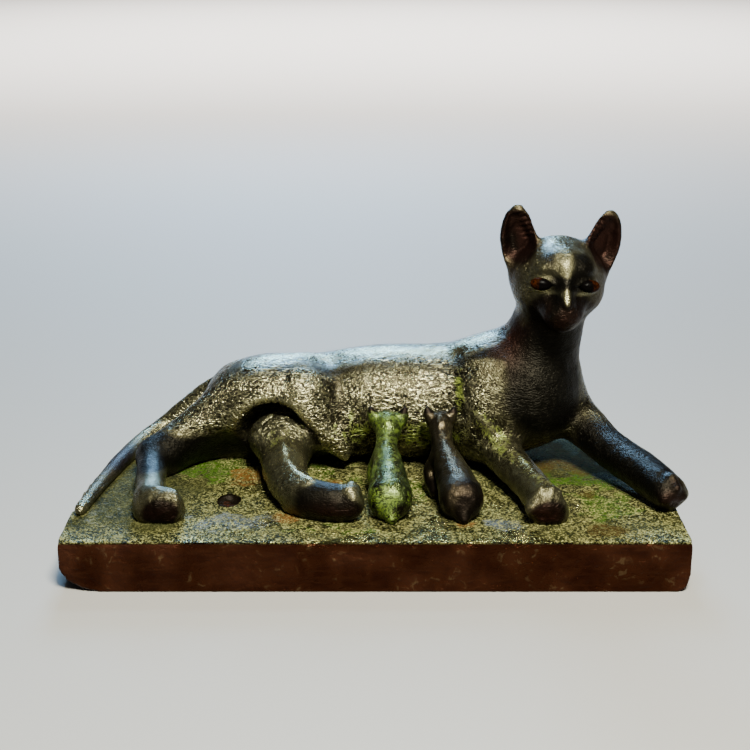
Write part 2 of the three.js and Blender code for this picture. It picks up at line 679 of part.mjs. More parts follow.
// The plinth: a slab whose left side curves in towards the back, with worn lower corners in front.
function plinthSolid() {
  const right = PLINTH_LENGTH / 2;
  const back = PLINTH_DEPTH / 2;
  const bend = -back + LEFT_SIDE_STRAIGHT;
  const backRun = back - bend;
  const backLeft = -right + LEFT_SIDE_RADIUS - Math.sqrt(LEFT_SIDE_RADIUS ** 2 - backRun ** 2);
  const sideTurn = Math.asin((backRun - BACK_LEFT_RADIUS) / LEFT_SIDE_RADIUS);
  const outline = new THREE.Shape();
  outline.moveTo(-right, -back);
  outline.lineTo(right, -back);
  outline.lineTo(right, back - BACK_RIGHT_RADIUS);
  outline.absarc(right - BACK_RIGHT_RADIUS, back - BACK_RIGHT_RADIUS, BACK_RIGHT_RADIUS, 0, Math.PI / 2);
  outline.lineTo(backLeft + BACK_LEFT_RADIUS, back);
  const sideTop = {
    x: -right + LEFT_SIDE_RADIUS * (1 - Math.cos(sideTurn)),
    y: bend + LEFT_SIDE_RADIUS * Math.sin(sideTurn),
  };
  outline.quadraticCurveTo(backLeft, back, sideTop.x, sideTop.y);
  outline.absarc(-right + LEFT_SIDE_RADIUS, bend, LEFT_SIDE_RADIUS, Math.PI - sideTurn, Math.PI);
  outline.closePath();
  let solid = solidFromGeometry(
    new THREE.ExtrudeGeometry(outline, { depth: PLINTH_HEIGHT, bevelEnabled: false, curveSegments: 8 }),
  );
  for (const [side, wear] of [[-1, LEFT_WEAR], [1, RIGHT_WEAR]]) {
    for (const angle of WEAR_ANGLES.map(THREE.MathUtils.degToRad)) {
      solid = solid.subtract(wearCut(side, wear, angle));
    }
  }
  const socket = new THREE.CylinderGeometry(1, SOCKET_TAPER, SOCKET.sunk * 2, 16)
    .rotateX(Math.PI / 2)
    .scale(SOCKET.width / 2, SOCKET.depth / 2, 1)
    .translate(SOCKET.x, SOCKET.y, PLINTH_HEIGHT);
  return solid.subtract(solidFromGeometry(socket));
}

// An inlaid eye, and with a gap around it the setting that is cut for it.
function eyeGeometry(side, gap) {
  const [tilt_x, tilt_y, tilt_z] = HEAD_TURN.map(THREE.MathUtils.degToRad);
  return new THREE.SphereGeometry(1, 12, 8)
    .scale(EYE_WIDTH / 2 + gap, EYE_DEPTH / 2 + gap, EYE_HEIGHT / 2 + gap)
    .rotateZ(THREE.MathUtils.degToRad(side * EYE_SLANT))
    .translate(((side * EYES.apart) / 2) * cat_size, EYES.y * cat_size, EYES.z * cat_size)
    .rotateX(tilt_x)
    .rotateY(tilt_y)
    .rotateZ(tilt_z)
    .translate(HEAD.x * cat_size, HEAD.y * cat_size, HEAD.z * cat_size);
}

const cat_size = CAT_LENGTH / CAT_DRAWN_LENGTH;
const kitten_size = KITTEN_LENGTH / KITTEN_DRAWN_LENGTH;
const mother = scaled(motherForm(), cat_size);
const above = abovePlinth();

function motherSolid() {
  const low = [-148, -62, -9].map((v) => v * cat_size);
  const high = [154, 78, 142].map((v) => v * cat_size);
  const surface = skin(mother, low, high, CAT_CELL * cat_size);
  let solid = solidFromSkin(thinned(surface, CAT_TRIANGLES)).intersect(above);
  for (const side of [-1, 1]) solid = solid.subtract(solidFromGeometry(eyeGeometry(side, SETTING_GAP)));
  return solid;
}

function kittenSolid(kitten) {
  const x = kitten.x * cat_size;
  const y = kitten.y * cat_size;
  const own = moved(scaled(kittenForm(kitten), kitten_size), x, y);
  const form = (px, py, pz) => Math.max(own(px, py, pz), CONTACT_GAP - mother(px, py, pz));
  const low = [x - 20 * kitten_size, y - 18 * kitten_size, -3 * kitten_size];
  const high = [x + 20 * kitten_size, y + 60 * kitten_size, 42 * kitten_size];
  const surface = skin(form, low, high, KITTEN_CELL * kitten_size);
  return solidFromSkin(thinned(surface, KITTEN_TRIANGLES)).intersect(above);
}

const figures = new THREE.Group();
figures.position.z = PLINTH_HEIGHT;
figures.add(
  meshFromSolid(motherSolid(), "mother_cat", bronze(0x4a4030, 0.42)),
  meshFromSolid(kittenSolid(LEFT_KITTEN), "left_kitten", bronze(0x4d5a26, 0.55)),
  meshFromSolid(kittenSolid(RIGHT_KITTEN), "right_kitten", bronze(0x4b3626, 0.5)),
  meshFromSolid(solidFromGeometry(eyeGeometry(-1, 0)), "left_eye", amber()),
  meshFromSolid(solidFromGeometry(eyeGeometry(1, 0)), "right_eye", amber()),
);

const group = new THREE.Group();
group.add(meshFromSolid(plinthSolid(), "plinth", bronze(0x4b3626, 0.5)), figures);

export default group;
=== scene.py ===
"""Looks of a bronze cat that nurses her kittens on a low plinth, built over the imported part.

Blender works in metres. The forms are worked in millimetres, in the part's own frame: +X runs
along the plinth to the cat's forepaws, her belly faces -Y, and the plinth's underside is at z = 0.
"""

import logging
import math
from dataclasses import dataclass
from enum import Enum

import bpy
import numpy as np
from mathutils import Euler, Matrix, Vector


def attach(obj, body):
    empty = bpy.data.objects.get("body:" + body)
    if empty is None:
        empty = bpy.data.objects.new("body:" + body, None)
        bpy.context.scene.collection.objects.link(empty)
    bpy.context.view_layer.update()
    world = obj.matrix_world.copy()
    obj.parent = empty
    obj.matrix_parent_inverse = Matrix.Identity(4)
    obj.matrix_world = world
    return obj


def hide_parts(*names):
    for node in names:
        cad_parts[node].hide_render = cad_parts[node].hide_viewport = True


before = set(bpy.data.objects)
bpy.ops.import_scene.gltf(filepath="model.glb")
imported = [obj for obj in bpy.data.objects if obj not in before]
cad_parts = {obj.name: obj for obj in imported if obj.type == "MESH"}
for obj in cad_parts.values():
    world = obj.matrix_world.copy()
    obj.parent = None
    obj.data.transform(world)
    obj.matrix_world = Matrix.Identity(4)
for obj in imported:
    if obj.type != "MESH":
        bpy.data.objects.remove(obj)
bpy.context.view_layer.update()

MM = 0.001  # a millimetre, in metres
JOINED = 0.00001  # corners that are closer than this are one, in metres
PLINTH_TOP = 24.0
PLINTH_FRONT = -70.0
SIDES = (-1, 1)  # the left and the right, seen from the front
SEED_STRIDE = 11.7  # how far apart the patterns of two seeds start
X_MIX, Y_MIX, Z_MIX = 73856093, 19349663, 83492791  # odd factors that scatter a grid's corners
SEED_MIX, LAST_MIX = 2654435761, 1274126177
LARGEST = 0xFFFF  # the largest of the random numbers
log = logging.getLogger("bronze_cat")

Colour = tuple[float, float, float]
Place = tuple[float, float, float]
Line = tuple[Place, ...]
Socket = bpy.types.NodeSocket


class Slot(Enum):
    """The record's material slots."""

    PLINTH = "plinth_bronze"
    CAT = "cat_bronze"
    GREEN = "green_bronze"
    BROWN = "brown_bronze"
    EYE = "eye_inlay"


class Patina(Enum):
    """What lies on the bronze, how it is worn, and where painted shade, highlights, rim light and
    reflections lie, kept as a share from 0 to 1 at every point.
    """

    # How hollow a place is, with a band at each figure's foot: painted shade there, and the green
    # gathers in it
    HOLLOW = "hollow"
    GREEN = "green"
    # Red-brown patina, which also paints warm rim light along some edges
    RED = "red"
    # Pale grey-blue patches on the plinth's top, a painted reflection
    BLUE = "blue"
    OCHRE = "ochre"
    # Stains on the plinth's top, with painted shadow under the cat's chest and head
    STAIN = "stain"
    # How far a place is rubbed, lowered for painted shade and raised for painted highlights
    WORN = "worn"
    SMOOTH = "smooth"


# Meshes


def deselect_all() -> None:
    """Leaves nothing selected and no mode but the object mode."""
    if bpy.context.object and bpy.context.object.mode != "OBJECT":
        bpy.ops.object.mode_set(mode="OBJECT")
    bpy.ops.object.select_all(action="DESELECT")


def make_active(piece: bpy.types.Object) -> None:
    """Selects one piece alone and makes it active.

    Args:
        piece: The piece to work on.
    """
    deselect_all()
    piece.select_set(True)
    bpy.context.view_layer.objects.active = piece


def finish_with(piece: bpy.types.Object, kind: str, **settings: object) -> None:
    """Adds a modifier to a piece and applies it.

    Args:
        piece: The piece.
        kind: The modifier's type.
        **settings: The modifier's own settings.
    """
    make_active(piece)
    modifier = piece.modifiers.new(kind.lower(), kind)
    for name, value in settings.items():
        setattr(modifier, name, value)
    bpy.ops.object.modifier_apply(modifier=modifier.name)


def copy_of_node(node: str, name: str) -> bpy.types.Object:
    """Copies a node's mesh into a new piece, with its loose triangles joined.

    Args:
        node: The node's name.
        name: The new piece's name.

    Returns:
        The new piece.
    """
    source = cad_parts[node]
    mesh = source.data.copy()
    mesh.name = name
    mesh.materials.clear()
    piece = bpy.data.objects.new(name, mesh)
    bpy.context.collection.objects.link(piece)
    make_active(piece)
    bpy.ops.object.mode_set(mode="EDIT")
    bpy.ops.mesh.select_all(action="SELECT")
    bpy.ops.mesh.remove_doubles(threshold=JOINED)
    bpy.ops.object.mode_set(mode="OBJECT")
    return piece


def lumps(points: np.ndarray, size: float, seed: int) -> np.ndarray:
    """Smooth random heights, the same on every run.

    Args:
        points: Places in millimetres, one a row.
        size: How wide a lump is.
        seed: Which of the random patterns.

    Returns:
        A height from -1 to 1 for each place.
    """
    place = points / size + seed * SEED_STRIDE
    cell = np.floor(place).astype(np.int64)
    part = place - cell
    part = part * part * (3 - 2 * part)
    total = np.zeros(len(points))
    for corner in range(8):
        step = np.array([corner & 1, (corner >> 1) & 1, corner >> 2])
        x, y, z = (cell + step).T
        mixed = (x * X_MIX) ^ (y * Y_MIX) ^ (z * Z_MIX) ^ (seed * SEED_MIX)
        mixed = ((mixed ^ (mixed >> 13)) * LAST_MIX) & 0x7FFFFFFF
        mixed = (mixed ^ (mixed >> 15)) & LARGEST
        weight = np.where(step, part, 1 - part).prod(axis=1)
        total += weight * (mixed / (LARGEST / 2) - 1)
    return total


def rise(values: np.ndarray, low: float, high: float) -> np.ndarray:
    """A smooth step from 0 at low to 1 at high, for each value."""
    share = np.clip((values - low) / (high - low), 0, 1)
    return share * share * (3 - 2 * share)


def read(
    items: bpy.types.bpy_prop_collection, field: str, width: int, kind: type = float
) -> np.ndarray:
    """A field of a mesh's points, edges or faces, as a row of some numbers for each."""
    flat = np.empty(len(items) * width, dtype=kind)
    items.foreach_get(field, flat)
    return flat.reshape(-1, width)


def fall(distance: np.ndarray, reach: float) -> np.ndarray:
    """A smooth fall from 1 at no distance towards 0 beyond the reach, for each value."""
    return np.exp(-((distance / reach) ** 2))


@dataclass(frozen=True)
class Spot:
    """A round place on a surface.

    Attributes:
        place: Its middle, in millimetres.
        radii: How far it reaches along x, y and z.
        share: How strong it is.
    """

    place: Place
    radii: Place
    share: float = 1.0

    def away(self, points: np.ndarray) -> np.ndarray:
        """How far off each point is, as the square of its distance in radii."""
        return (((points - np.array(self.place)) / np.array(self.radii)) ** 2).sum(axis=1)

    def over(self, points: np.ndarray) -> np.ndarray:
        """The spot's strength at each point."""
        return self.share * np.exp(-self.away(points))


@dataclass(frozen=True)
class Groove:
    """A worked line: a groove, or a ridge where its depth is negative.

    Attributes:
        path: Places along it, in millimetres.
        width: Its half width.
        depth: How deep it is.
    """

    path: Line
    width: float
    depth: float


class Skin:
    """The points of a piece's mesh while it is worked, in millimetres."""

    STEPS = (0.6, -0.62)  # one in that smooths, and one out that keeps the size

    def __init__(self, piece: bpy.types.Object) -> None:
        """Reads a piece's points and edges."""
        self.piece = piece
        mesh = piece.data
        self.points = read(mesh.vertices, "co", 3) / MM
        ends = read(mesh.edges, "vertices", 2, np.int64)
        self.here = np.concatenate([ends[:, 0], ends[:, 1]])
        self.there = np.concatenate([ends[:, 1], ends[:, 0]])
        self.count = np.maximum(np.bincount(self.here, minlength=len(self.points)), 1)

    def around(self, values: np.ndarray) -> np.ndarray:
        """The mean of each point's neighbours, for numbers or rows of numbers."""
        columns = values.reshape(len(values), -1).T
        means = [
            np.bincount(self.here, column[self.there], len(values)) / self.count
            for column in columns
        ]
        return np.array(means).T.reshape(values.shape)

    def relax(self, rounds: int, share: np.ndarray | float = 1.0) -> None:
        """Evens the surface out without shrinking it.

        Args:
            rounds: How many times.
            share: How much of it each point takes.
        """
        weight = np.broadcast_to(share, len(self.points))[:, None]
        for _ in range(rounds):
            for step in self.STEPS:
                self.points += step * weight * (self.around(self.points) - self.points)

    def soften(self, values: np.ndarray, rounds: int) -> np.ndarray:
        """Spreads values over their neighbours."""
        for _ in range(rounds):
            values = (values + self.around(values)) / 2
        return values

    def write(self) -> None:
        """Puts the points back in the mesh."""
        self.piece.data.vertices.foreach_set("co", (self.points * MM).ravel())
        self.piece.data.update()

    def normals(self) -> np.ndarray:
        """Outward unit normals of the points."""
        self.write()
        return read(self.piece.data.vertex_normals, "vector", 3)

    def push(self, amount: np.ndarray) -> None:
        """Moves each point out along its normal by its own amount."""
        self.points += self.normals() * amount[:, None]

    def hollow(self, rounds: int) -> np.ndarray:
        """How far each point lies below its surroundings, which widen with the rounds."""
        wide = self.soften(self.points, rounds)
        return ((wide - self.points) * self.normals()).sum(axis=1)

    def snapped(self, place: Place) -> np.ndarray:
        """The point of the surface nearest to a place."""
        return self.points[((self.points - np.array(place)) ** 2).sum(axis=1).argmin()]

    def away_from(self, path: Line) -> np.ndarray:
        """How far each point is from a line over the surface."""
        corners = [self.snapped(place) for place in path]
        nearest = np.full(len(self.points), np.inf)
        for start, end in zip(corners, corners[1:]):
            run = end - start
            square = max(float(run @ run), 1e-9)
            share = np.clip((self.points - start) @ run / square, 0, 1)
            off = np.linalg.norm(self.points - start - share[:, None] * run, axis=1)
            nearest = np.minimum(nearest, off)
        return nearest

    def cut(self, grooves: list[Groove]) -> None:
        """Works a list of grooves into the surface."""
        amount = np.zeros(len(self.points))
        for groove in grooves:
            amount -= groove.depth * fall(self.away_from(groove.path), groove.width)
        self.push(amount)

    def keep(self, patina: Patina, values: np.ndarray) -> None:
        """Stores how much of a patina lies at each point, from 0 to 1."""
        layer = self.piece.data.attributes.new(patina.value, "FLOAT", "POINT")
        layer.data.foreach_set("value", np.clip(values, 0, 1).astype(np.float32))


def refine(piece: bpy.types.Object, places: list[Spot]) -> None:
    """Halves the faces near some places, for finer work.

    Args:
        piece: The piece.
        places: Where it is worked finer, out to one radius.
    """
    make_active(piece)
    mesh = piece.data
    centres = read(mesh.polygons, "center", 3) / MM
    near = np.zeros(len(centres), dtype=bool)
    for spot in places:
        near |= spot.away(centres) < 1
    bpy.ops.object.mode_set(mode="EDIT")
    bpy.ops.mesh.select_mode(type="FACE")
    bpy.ops.mesh.select_all(action="DESELECT")
    bpy.ops.object.mode_set(mode="OBJECT")
    mesh.polygons.foreach_set("select", near)
    bpy.ops.object.mode_set(mode="EDIT")
    bpy.ops.mesh.subdivide(number_cuts=1, smoothness=0)
    bpy.ops.object.mode_set(mode="OBJECT")


# Finishes


class Shader:
    """A node material while it is put together."""

    def __init__(self, name: str) -> None:
        """Starts an empty material."""
        self.material = bpy.data.materials.new(name)
        self.material.use_nodes = True
        self.tree = self.material.node_tree
        self.tree.nodes.clear()
        self.place = self.node("ShaderNodeTexCoord").outputs["Object"]

    def node(self, kind: str, sockets: dict | None = None, **settings: object) -> bpy.types.Node:
        """Adds a node.

        Args:
            kind: The node's type.
            sockets: A value, or the output to link, for each input.
            **settings: The node's own settings.

        Returns:
            The node.
        """
        node = self.tree.nodes.new(kind)
        for name, value in settings.items():
            setattr(node, name, value)
        for name, value in (sockets or {}).items():
            if isinstance(value, Socket):
                self.tree.links.new(value, node.inputs[name])
            else:
                node.inputs[name].default_value = value
        return node

    def stretched(self, stretch: Place, turn: Place = (0, 0, 0)) -> Socket:
        """Coordinates for a pattern that is stretched along x, y and z, and turned by degrees."""
        turned = tuple(math.radians(angle) for angle in turn)
        sockets = {"Vector": self.place, "Rotation": turned, "Scale": tuple(1 / s for s in stretch)}
        return self.node("ShaderNodeMapping", sockets).outputs["Vector"]

    def noise(
        self, size: float, detail: float, distortion: float, over: Socket | None = None
    ) -> Socket:
        """A cloudy pattern.

        Args:
            size: How wide its clouds are, in millimetres.
            detail: How many finer layers it has.
            distortion: How much it is twisted.
            over: Its coordinates, if not the plain ones.

        Returns:
            Its height, from 0 to 1.
        """
        sockets = {"Vector": over or self.place, "Scale": 1 / (size * MM), "Detail": detail}
        sockets["Distortion"] = distortion
        return self.node("ShaderNodeTexNoise", sockets).outputs["Fac"]

    def patina(self, patina: Patina) -> Socket:
        """A patina's share, as the mesh keeps it."""
        return self.node("ShaderNodeAttribute", attribute_name=patina.value).outputs["Fac"]

    def rise(self, value: Socket, low: float, high: float) -> Socket:
        """A smooth step from 0 at low to 1 at high."""
        sockets = {"Value": value, "From Min": low, "From Max": high}
        node = self.node("ShaderNodeMapRange", sockets, interpolation_type="SMOOTHSTEP")
        return node.outputs["Result"]

    def math(self, operation: str, first: object, second: object) -> Socket:
        """Two values joined by an operation, each a number or an output."""
        return self.node("ShaderNodeMath", {0: first, 1: second}, operation=operation).outputs[0]

    def plus(self, first: object, second: object) -> Socket:
        """The sum of two values."""
        return self.math("ADD", first, second)

    def minus(self, first: object, second: object) -> Socket:
        """The first value less the second."""
        return self.math("SUBTRACT", first, second)

    def times(self, first: object, second: object) -> Socket:
        """The product of two values."""
        return self.math("MULTIPLY", first, second)

    def mix(self, share: Socket, low: object, high: object) -> Socket:
        """A colour between two, each a colour or an output."""
        ends = [value if isinstance(value, Socket) else (*value, 1) for value in (low, high)]
        sockets = {0: share, 6: ends[0], 7: ends[1]}  # a colour mix has its ends at 6 and 7
        return self.node("ShaderNodeMix", sockets, data_type="RGBA").outputs[2]

    def bump(self, height: Socket, depth: float, under: Socket | None = None) -> Socket:
        """Relief from a height pattern.

        Args:
            height: The pattern, from 0 to 1.
            depth: How deep it is, in millimetres.
            under: The relief that it lies on, if any.

        Returns:
            The normal.
        """
        sockets = {"Height": height, "Distance": depth * MM, "Strength": 1.0}
        if under is not None:
            sockets["Normal"] = under
        return self.node("ShaderNodeBump", sockets).outputs["Normal"]

    def surface(self, sockets: dict) -> bpy.types.Material:
        """Ends the material with a surface that has these inputs."""
        shader = self.node("ShaderNodeBsdfPrincipled", sockets)
        self.node("ShaderNodeOutputMaterial", {"Surface": shader.outputs["BSDF"]})
        return self.material


@dataclass(frozen=True)
class BronzeFinish:
    """Old bronze: chased and pitted, rubbed on its ridges, with green patina in the hollows and
    painted shade that darkens them and other places.

    Attributes:
        name: The finish's name.
        dark: Its colour in the darker clouds, and the painted shade in the hollows.
        warm: Its colour on the plain surface.
        rubbed: Its colour on the ridges.
        red: Its red-brown colour, for the patina and for painted warm rim light.
        deep: The near-black colour of painted shade, where little rubbing is kept.
        green_low: The green's colour in its hollows.
        green_high: The green's colour on its ridges.
        rubbed_share: How much of it is rubbed bright.
        roughness: How rough it is where it is bare.
        stroke: How wide the chased strokes are, in millimetres.
        stroke_depth: How deep they are, in millimetres.
        polish: How much of that depth is lost where it is smooth.
    """

    name: str
    dark: Colour = (0.012, 0.0105, 0.006)
    warm: Colour = (0.026, 0.023, 0.012)
    rubbed: Colour = (0.25, 0.238, 0.132)
    red: Colour = (0.026, 0.0088, 0.0062)
    deep: Colour = (0.0045, 0.004, 0.0026)
    green_low: Colour = (0.014, 0.028, 0.004)
    green_high: Colour = (0.15, 0.19, 0.022)
    rubbed_share: float = 1.0
    roughness: float = 0.18
    stroke: float = 1.25
    stroke_depth: float = 0.68
    polish: float = 0.88

    def strokes(self, shader: Shader, clouds: Socket) -> Socket:
        """The chased strokes, which run along the body in places and down it in others."""
        along = shader.noise(self.stroke, 1.0, 1.7, shader.stretched((2.5, 1, 1), (0, 14, 8)))
        down = shader.noise(self.stroke, 1.0, 1.7, shader.stretched((1, 1, 1.9), (0, 24, 0)))
        turned = shader.rise(clouds, 0.5, 0.56)
        return shader.plus(along, shader.times(shader.minus(down, along), turned))

    def material(self) -> bpy.types.Material:
        """Builds the finish."""
        shader = Shader(self.name)
        hollow = shader.patina(Patina.HOLLOW)
        worn = shader.patina(Patina.WORN)
        smooth = shader.patina(Patina.SMOOTH)
        clouds = shader.noise(16, 4, 0.4)
        blotches = shader.noise(4.5, 4, 0.8)
        strokes = self.strokes(shader, clouds)

        body = shader.mix(shader.rise(clouds, 0.3, 0.7), self.dark, self.warm)
        ridge = shader.minus(strokes, shader.times(hollow, 0.5))
        ridge = shader.math("MAXIMUM", shader.rise(ridge, 0.25, 0.48), smooth)
        cover = shader.plus(shader.times(shader.rise(blotches, 0.2, 0.7), 0.4), 0.6)
        cover = shader.times(shader.times(cover, worn), self.rubbed_share)
        body = shader.mix(shader.times(ridge, cover), body, self.rubbed)
        # Painted shade: the hollows and the figures' feet turn dark.
        body = shader.mix(shader.rise(hollow, 0.55, 0.9), body, self.dark)
        # Painted shade: the near-black colour where little rubbing is kept.
        body = shader.mix(shader.rise(worn, 0.35, 0.0), body, self.deep)
        # Red-brown patina, which also paints warm rim light on some edges.
        red = shader.times(shader.patina(Patina.RED), shader.rise(clouds, 0.2, 0.5))
        body = shader.mix(red, body, self.red)

        specks = shader.plus(shader.times(strokes, 0.45), shader.times(blotches, 0.55))
        seep = shader.plus(shader.patina(Patina.GREEN), shader.times(hollow, 0.2))
        green = shader.rise(shader.plus(seep, specks), 0.85, 1.05)
        tone = shader.mix(shader.rise(strokes, 0.38, 0.62), self.green_low, self.green_high)
        body = shader.mix(shader.times(green, 0.85), body, tone)

        metal = shader.minus(0.95, shader.times(green, 0.35))
        rough = shader.plus(shader.times(blotches, 0.16), self.roughness)
        rough = shader.plus(rough, shader.times(shader.rise(worn, 0.8, 0.2), 0.2))
        rough = shader.plus(rough, shader.times(green, 0.1))
        chased = shader.minus(1.0, shader.times(smooth, self.polish))
        relief = shader.bump(shader.times(strokes, chased), self.stroke_depth)
        relief = shader.bump(shader.noise(0.7, 2, 0.5), 0.14, relief)
        sockets = {"Base Color": body, "Metallic": metal, "Roughness": rough, "Normal": relief}
        return shader.surface(sockets)


@dataclass(frozen=True)
class PlinthFinish:
    """The slab's bronze: red-brown sides, and a top mottled in olive, ochre and green, with painted
    grey-blue reflections and painted shadow.

    Attributes:
        name: The finish's name.
        side: The colour of its sides.
        side_light: Their colour in the lighter clouds.
        streak: The colour of the streaks along them.
        fleck: The colour of their flecks.
        top: The colour of its top.
        top_dark: Its colour in the darker clouds.
        grit: The colour of the bright grit on it.
        recess_shade: The painted shade in the socket and in its creases.
        patches: Each patina, painted reflection and painted shadow on the top, with its colour and
            how strong it must be to show.
    """

    name: str
    side: Colour = (0.014, 0.0036, 0.0013)
    side_light: Colour = (0.027, 0.008, 0.003)
    streak: Colour = (0.024, 0.0075, 0.003)
    fleck: Colour = (0.065, 0.042, 0.02)
    top: Colour = (0.015, 0.017, 0.0035)
    top_dark: Colour = (0.004, 0.006, 0.001)
    grit: Colour = (0.33, 0.32, 0.12)
    recess_shade: Colour = (0.005, 0.0035, 0.002)
    patches: tuple[tuple[Patina, Colour, float], ...] = (
        (Patina.GREEN, (0.022, 0.054, 0.002), 0.52),
        (Patina.OCHRE, (0.1, 0.044, 0.01), 0.62),
        # A painted pale reflection
        (Patina.BLUE, (0.08, 0.1, 0.12), 0.54),
        # Stains, and painted shadow under her chest and head
        (Patina.STAIN, (0.03, 0.018, 0.0035), 0.5),
    )

    def material(self) -> bpy.types.Material:
        """Builds the finish."""
        shader = Shader(self.name)
        height = shader.node("ShaderNodeSeparateXYZ", {"Vector": shader.place}).outputs["Z"]
        clouds = shader.noise(14, 5, 0.6)
        blotches = shader.noise(3.2, 4, 0.8)
        grain = shader.noise(0.6, 3, 0.4)
        specks = shader.noise(1.0, 1.5, 0.8)
        strokes = shader.noise(1.3, 2, 1.2, shader.stretched((1.5, 1, 1)))
        streaks = shader.noise(2.4, 4, 0.6, shader.stretched((5, 2, 1)))
        worn = shader.patina(Patina.WORN)

        side = shader.mix(shader.rise(clouds, 0.3, 0.7), self.side, self.side_light)
        side = shader.mix(shader.rise(streaks, 0.45, 0.75), side, self.streak)
        fleck = shader.times(shader.rise(blotches, 0.55, 0.68), shader.rise(clouds, 0.5, 0.62))
        side = shader.mix(shader.times(fleck, 0.6), side, self.fleck)
        top = shader.mix(shader.rise(clouds, 0.35, 0.62), self.top_dark, self.top)
        grit = shader.plus(shader.times(specks, 0.65), shader.times(blotches, 0.35))
        # Fewer bright grains where painted shade lies, more along the front edge as a painted
        # highlight.
        grit = shader.times(shader.rise(grit, 0.47, 0.59), shader.plus(worn, 0.12))
        top = shader.mix(grit, top, self.grit)
        edge = shader.rise(height, (PLINTH_TOP - 1.6) * MM, (PLINTH_TOP - 0.7) * MM)
        body = shader.mix(edge, side, top)
        # Painted shade in the creases and the socket.
        body = shader.mix(shader.rise(shader.patina(Patina.HOLLOW), 0.55, 0.8), body, self.recess_shade)

        masks = {}
        for patina, colour, low in self.patches:
            spread = shader.times(shader.patina(patina), 0.7)
            spread = shader.plus(spread, shader.times(blotches, 0.6))
            masks[patina] = shader.rise(spread, low, low + 0.24)
            share = shader.times(masks[patina], shader.rise(strokes, 0.68, 0.38))
            if patina is not Patina.OCHRE:
                share = shader.times(share, shader.rise(grit, 1.0, 0.1))
            body = shader.mix(share, body, colour)

        dull = shader.math("MAXIMUM", masks[Patina.GREEN], masks[Patina.OCHRE])
        metal = shader.plus(shader.times(worn, 0.8), 0.08)
        metal = shader.minus(metal, shader.times(dull, 0.3))
        rough = shader.minus(shader.times(blotches, 0.2), shader.times(worn, 0.6))
        stained = shader.plus(shader.times(masks[Patina.STAIN], 0.3), 0.72)
        relief = shader.bump(blotches, 0.7)
        relief = shader.bump(shader.times(specks, edge), 1.3, relief)
        relief = shader.bump(streaks, 0.3, relief)
        relief = shader.bump(grain, 0.15, relief)
        rough = shader.plus(rough, stained)
        sockets = {"Base Color": body, "Metallic": metal, "Roughness": rough, "Normal": relief}
        return shader.surface({**sockets, "Specular IOR Level": 0.08})


@dataclass(frozen=True)
class InlayFinish:
    """A polished eye: an amber ring round a dark pupil.

    Attributes:
        name: The finish's name.
        pupil: The middle of the pupil, in millimetres.
        radius: The pupil's radius, so wide that its black also lies in the eye's inner corner as
            painted shade.
        black: The pupil's colour.
        amber_dark: The ring's colour in its darker streaks.
        amber: Its colour in the lighter ones.
    """

    name: str
    pupil: Place
    radius: float = 5.2
    black: Colour = (0.0008, 0.0006, 0.0006)
    amber_dark: Colour = (0.002, 0.0007, 0.0004)
    amber: Colour = (0.017, 0.0042, 0.0009)

    def material(self) -> bpy.types.Material:
        """Builds the finish."""
        shader = Shader(self.name)
        ends = {0: shader.place, 1: tuple(value * MM for value in self.pupil)}
        away = shader.node("ShaderNodeVectorMath", ends, operation="DISTANCE").outputs["Value"]
        streaks = shader.noise(1.1, 3, 0.8)
        amber = shader.mix(shader.rise(streaks, 0.35, 0.65), self.amber_dark, self.amber)
        ring = shader.rise(away, self.radius * 0.9 * MM, self.radius * 1.15 * MM)
        body, relief = shader.mix(ring, self.black, amber), shader.bump(streaks, 0.05)
        sockets = {"Base Color": body, "Roughness": 0.3, "Normal": relief}
        return shader.surface({**sockets, "Specular IOR Level": 0.015})


@dataclass(frozen=True)
class FloorFinish:
    """A plain pale floor.

    Attributes:
        name: The finish's name.
        colour: Its colour.
    """

    name: str = "pale_floor"
    colour: Colour = (0.22, 0.215, 0.207)

    def material(self) -> bpy.types.Material:
        """Builds the finish."""
        sockets = {"Base Color": (*self.colour, 1), "Roughness": 0.75}
        return Shader(self.name).surface(sockets)


# Pieces


@dataclass(kw_only=True)
class Figure:
    """A piece that stands for one node, made from a copy of it.

    Attributes:
        node: The node's name.
        name: The piece's name.
        slot: The node's slot in the record; not used.
        cell: How fine the piece's mesh is, in millimetres.
    """

    node: str
    name: str
    slot: Slot
    cell: float

    def __post_init__(self) -> None:
        """Copies the node and gives it an even, fine mesh."""
        self.piece = copy_of_node(self.node, self.name)
        finish_with(self.piece, "REMESH", mode="VOXEL", voxel_size=self.cell * MM)

    def sink(self, skin: Skin, depth: float = 0.5, height: float = 1.2) -> None:
        """Presses the foot of a figure into the plinth's top, so that no light shows under it."""
        skin.points[:, 2] -= depth * (1 - rise(skin.points[:, 2], PLINTH_TOP, PLINTH_TOP + height))

    def keep_hollow_shade(self, skin: Skin, scale: float) -> None:
        """Stores where the surface is hollow, from fine creases and wide ones together, and a band
        at the foot, for painted shade and for the green.

        Args:
            skin: The piece's points.
            scale: How strongly a millimetre counts.
        """
        fine = skin.soften(skin.hollow(4), 1) * 1.6
        wide = skin.soften(skin.hollow(40), 3) * 0.12
        # Painted shade where the figure meets the plinth.
        foot = 0.25 * (1 - rise(skin.points[:, 2], PLINTH_TOP, PLINTH_TOP + 4))
        skin.keep(Patina.HOLLOW, 0.4 + scale * (fine + wide) + foot)

    def dress(self, material: bpy.types.Material) -> None:
        """Gives the piece its finish, and its place in the part."""
        self.piece.data.materials.append(material)
        make_active(self.piece)
        bpy.ops.object.shade_smooth()
        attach(self.piece, "root")
        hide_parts(self.node)
        triangles = sum(len(face.vertices) - 2 for face in self.piece.data.polygons)
        log.info("%s: %d triangles", self.name, triangles)


